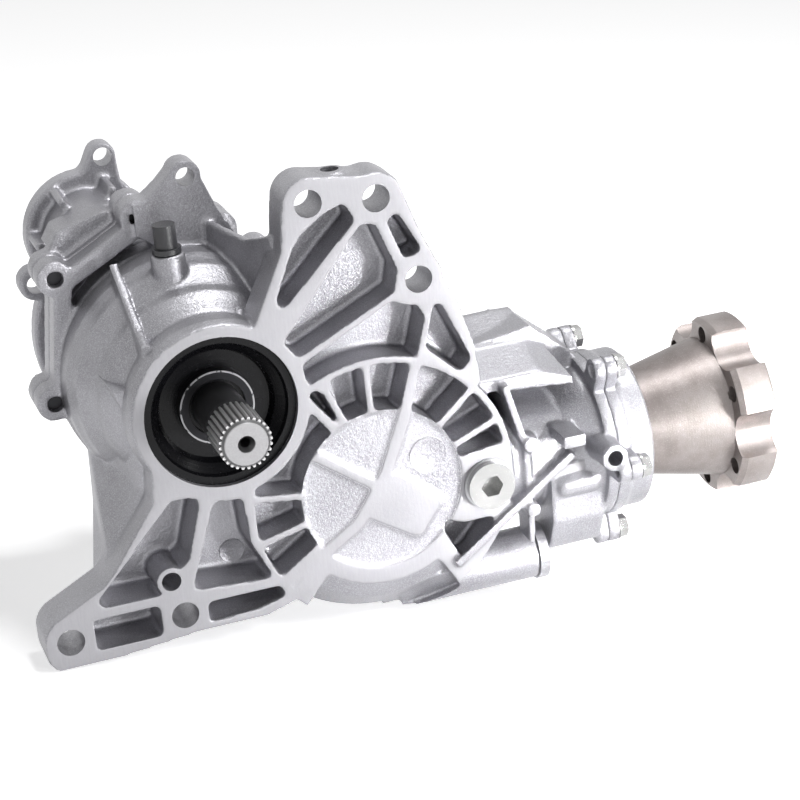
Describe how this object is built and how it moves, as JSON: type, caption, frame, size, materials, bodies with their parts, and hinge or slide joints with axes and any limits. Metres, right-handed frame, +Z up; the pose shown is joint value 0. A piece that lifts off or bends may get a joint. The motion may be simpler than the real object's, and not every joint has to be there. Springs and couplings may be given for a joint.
{
  "type": "power transfer unit",
  "caption": "Cast aluminium power transfer gearbox with ribbed mounting arm and foot, splined side shaft and a right-angle output with a tabbed flange.",
  "frame": {"origin": "where the link shaft axis crosses the machined front face", "axes": "+X along the output shaft towards the output flange, +Y from the front face into the case towards the transaxle, +Z up, at right angles to both shafts"},
  "size_m": [0.3805, 0.216, 0.2375],
  "materials": {
    "cast_aluminium": "fine cast, matt silver",
    "cover_aluminium": "fine cast, matt silver",
    "flange_steel": "turned steel, warm grey",
    "shaft_steel": "dark phosphated steel",
    "gear_steel": "ground steel",
    "bearing_steel": "polished steel",
    "cage_steel": "pressed steel",
    "seal_rubber": "black",
    "plug_steel": "zinc plated",
    "washer_alloy": "plain",
    "vent_plastic": "black",
    "bolt_steel": "zinc plated"
  },
  "bodies": {
    "case": {"main_case": "cast_aluminium", "rear_cover": "cover_aluminium", "pinion_carrier": "cast_aluminium", "input_outer_races": "bearing_steel", "transfer_cups": "bearing_steel", "pinion_cups": "bearing_steel", "main_seal": "seal_rubber", "pinion_seal": "seal_rubber", "fill_plug": "plug_steel", "plug_washer": "washer_alloy", "vent_tube": "plug_steel", "vent_cap": "vent_plastic", "tube_cap": "cast_aluminium", "joint_bolts": "bolt_steel", "carrier_bolts": "bolt_steel"},
    "link": {"link_shaft": "shaft_steel"},
    "input": {"input_shaft": "shaft_steel", "input_gear": "gear_steel", "input_inner_races": "bearing_steel", "shaft_seal": "seal_rubber"},
    "transfer": {"transfer_shaft": "shaft_steel", "transfer_gear": "gear_steel", "ring_gear": "gear_steel", "transfer_cones": "bearing_steel"},
    "pinion": {"pinion_shaft": "shaft_steel", "output_flange": "flange_steel", "pinion_nut": "bolt_steel", "crush_sleeve": "shaft_steel", "pinion_cones": "bearing_steel"},
    "input_ball_set": {"input_balls": "bearing_steel", "input_cages": "cage_steel"},
    "transfer_roller_set": {"transfer_rollers": "bearing_steel", "transfer_cages": "cage_steel"},
    "pinion_roller_set": {"pinion_rollers": "bearing_steel", "pinion_cages": "cage_steel"}
  },
  "joints": [
    {"name": "transfer_spin", "type": "hinge", "parent": "case", "child": "transfer", "pos_m": [0.0745, 0.06, -0.066], "axis": [0, 1, 0], "continuous": true},
    {"name": "link_shaft_spin", "type": "hinge", "parent": "case", "child": "link", "pos_m": [0, 0.05, 0], "axis": [0, 1, 0], "continuous": true},
    {"name": "input_spin", "type": "hinge", "parent": "case", "child": "input", "pos_m": [0, 0.07, 0], "axis": [0, 1, 0], "continuous": true},
    {"name": "output_spin", "type": "hinge", "parent": "case", "child": "pinion", "pos_m": [0.2, 0.034, -0.066], "axis": [1, 0, 0], "continuous": true},
    {"name": "input_ball_orbit", "type": "hinge", "parent": "case", "child": "input_ball_set", "pos_m": [0, 0.07, 0], "axis": [0, 1, 0], "continuous": true},
    {"name": "transfer_roller_orbit", "type": "hinge", "parent": "case", "child": "transfer_roller_set", "pos_m": [0.0745, 0.06, -0.066], "axis": [0, 1, 0], "continuous": true},
    {"name": "pinion_roller_orbit", "type": "hinge", "parent": "case", "child": "pinion_roller_set", "pos_m": [0.16, 0.034, -0.066], "axis": [1, 0, 0], "continuous": true}
  ],
  "couplings": [
    {"joint": "input_spin", "follows": "transfer_spin", "ratio": -0.95122},
    {"joint": "output_spin", "follows": "transfer_spin", "ratio": -2.6923},
    {"joint": "input_ball_orbit", "follows": "transfer_spin", "ratio": -0.42342},
    {"joint": "transfer_roller_orbit", "follows": "transfer_spin", "ratio": 0.42468},
    {"joint": "pinion_roller_orbit", "follows": "transfer_spin", "ratio": -1.1624}
  ]
}
